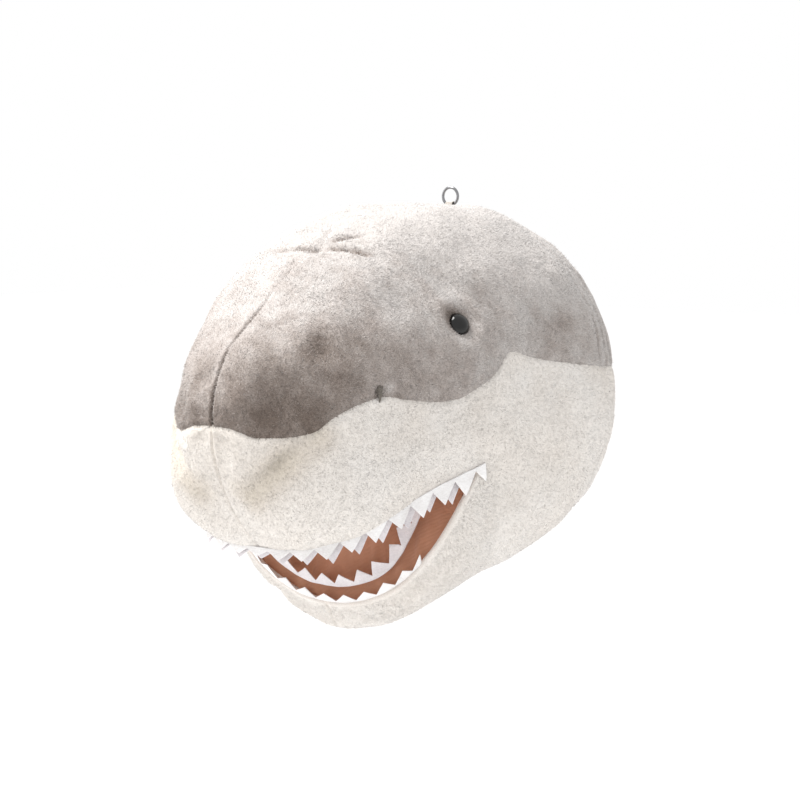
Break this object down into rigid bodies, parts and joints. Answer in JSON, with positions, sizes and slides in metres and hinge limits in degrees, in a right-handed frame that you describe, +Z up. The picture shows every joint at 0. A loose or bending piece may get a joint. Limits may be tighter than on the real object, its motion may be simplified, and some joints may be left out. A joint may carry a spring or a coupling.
{
  "type": "plush shark head wall decoration",
  "caption": "Soft stuffed shark head on a round board: open mouth with felt teeth, domed eyes, a jaw that gives when pressed and a ring to hang it on a wall.",
  "frame": {"origin": "centre of the round back, on the plane of the wall", "axes": "+Y is the outward normal of the back face and points into the wall, so the head looks along -Y; +Z up; +X is the head's left side"},
  "size_m": [0.2402, 0.2378, 0.2636],
  "materials": {
    "felt_grey": "matte",
    "board": "matte",
    "steel_wire": "satin",
    "tape": "matte",
    "grey_plush": "matte",
    "white_plush": "matte",
    "stuffing": "matte",
    "mouth_fabric": "matte",
    "tooth_felt": "matte",
    "eye_plastic": "gloss",
    "washer_plastic": "matte",
    "grey_thread": "matte",
    "ring_metal": "polished"
  },
  "bodies": {
    "head": {"back_felt": "felt_grey", "backing_board": "board", "hem_staples": "steel_wire", "hanger_tape": "tape", "tape_staples": "steel_wire", "grey_skin_left": "grey_plush", "grey_skin_right": "grey_plush", "white_skin_left": "white_plush", "white_skin_right": "white_plush", "head_stuffing": "stuffing", "palate_lining": "mouth_fabric", "upper_teeth_outer": "tooth_felt", "upper_teeth_inner": "tooth_felt", "eye_left": "eye_plastic", "eye_right": "eye_plastic", "eye_washer_left": "washer_plastic", "eye_washer_right": "washer_plastic", "nostril_stitch_left": "grey_thread", "nostril_stitch_right": "grey_thread"},
    "jaw": {"jaw_skin_left": "white_plush", "jaw_skin_right": "white_plush", "jaw_stuffing": "stuffing", "mouth_floor_lining": "mouth_fabric", "lower_teeth_outer": "tooth_felt", "lower_teeth_inner": "tooth_felt"},
    "ring": {"hanging_ring": "ring_metal"}
  },
  "joints": [
    {"name": "jaw_flex", "type": "hinge", "parent": "head", "child": "jaw", "pos_m": [0, -0.114, -0.028], "axis": [-1, 0, 0], "range_deg": [0, 6], "stiffness_Nm_per_rad": 3},
    {"name": "ring_swing", "type": "hinge", "parent": "head", "child": "ring", "pos_m": [0, -0.0027, 0.1155], "axis": [1, 0, 0], "range_deg": [0, 70]}
  ]
}
